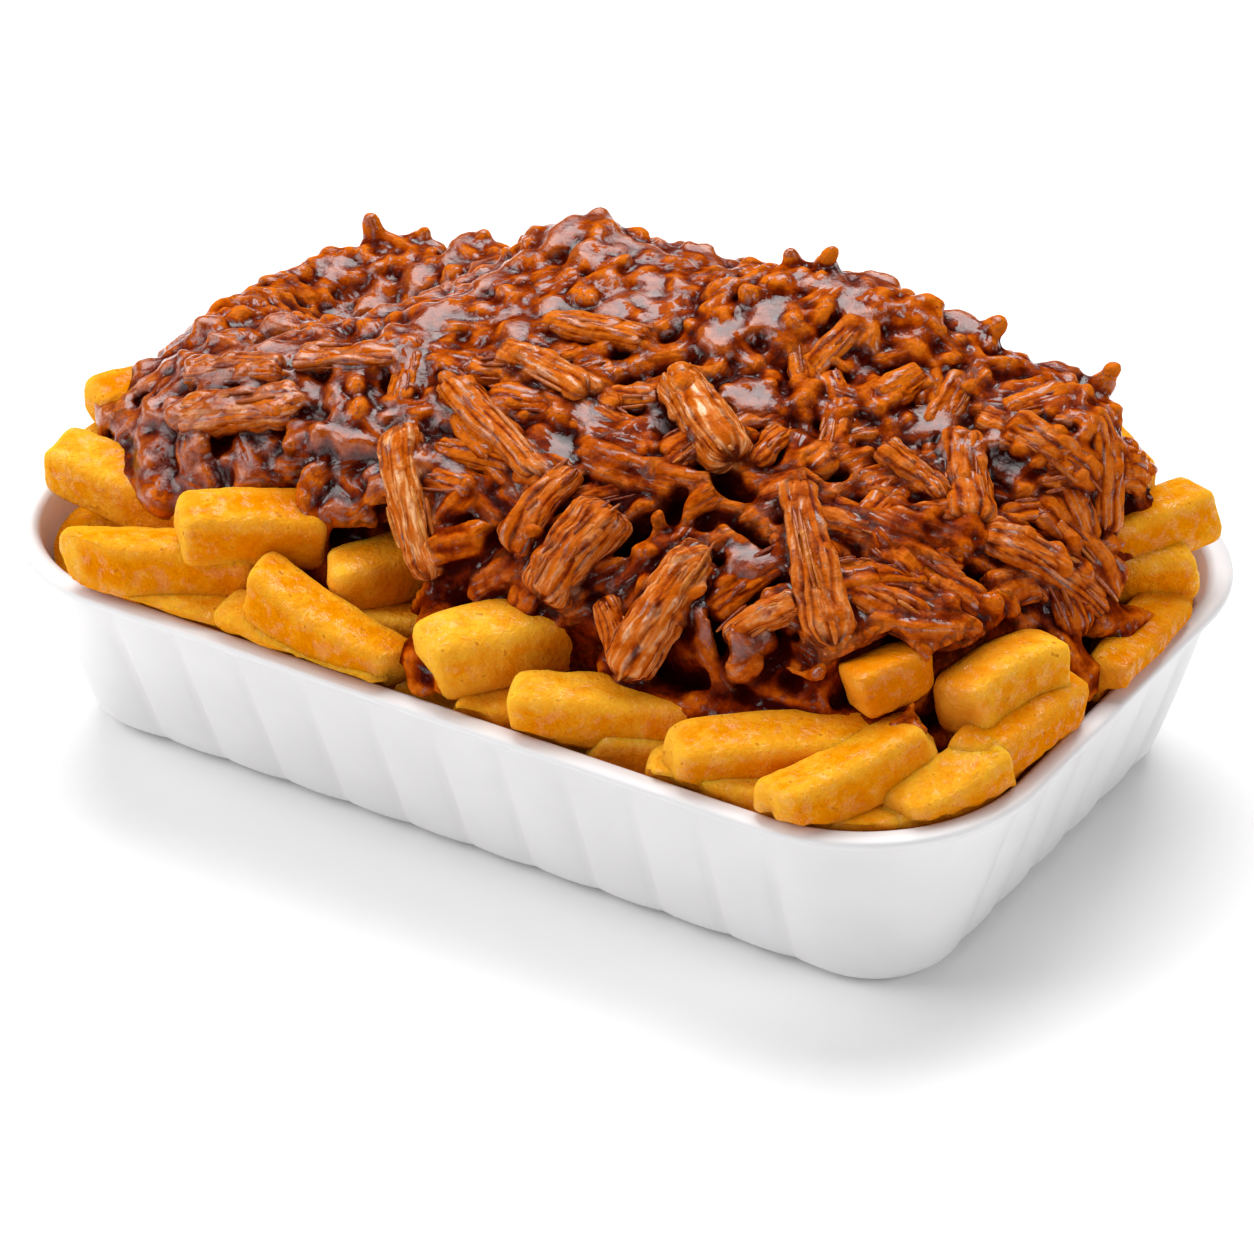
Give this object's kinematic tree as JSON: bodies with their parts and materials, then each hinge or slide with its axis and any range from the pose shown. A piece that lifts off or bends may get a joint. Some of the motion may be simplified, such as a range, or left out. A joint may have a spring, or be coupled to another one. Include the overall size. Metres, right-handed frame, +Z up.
{
  "type": "dish of pulled pork fries",
  "caption": "Oblong fluted white tray heaped with thick fries under shredded meat in dark sauce.",
  "frame": {"origin": "middle of the tray's base, on the surface that it stands on", "axes": "+Z up, +X along the tray's long side, +Y across it to the back"},
  "size_m": [0.2, 0.1308, 0.0916],
  "materials": {
    "tray": "satin white moulded plastic",
    "fries": "golden fried potato, slightly oily",
    "pulled_pork": "shredded meat in a glossy brown sauce"
  },
  "bodies": {
    "root": {"tray": "tray", "fries": "fries", "pulled_pork": "pulled_pork"}
  },
  "joints": []
}
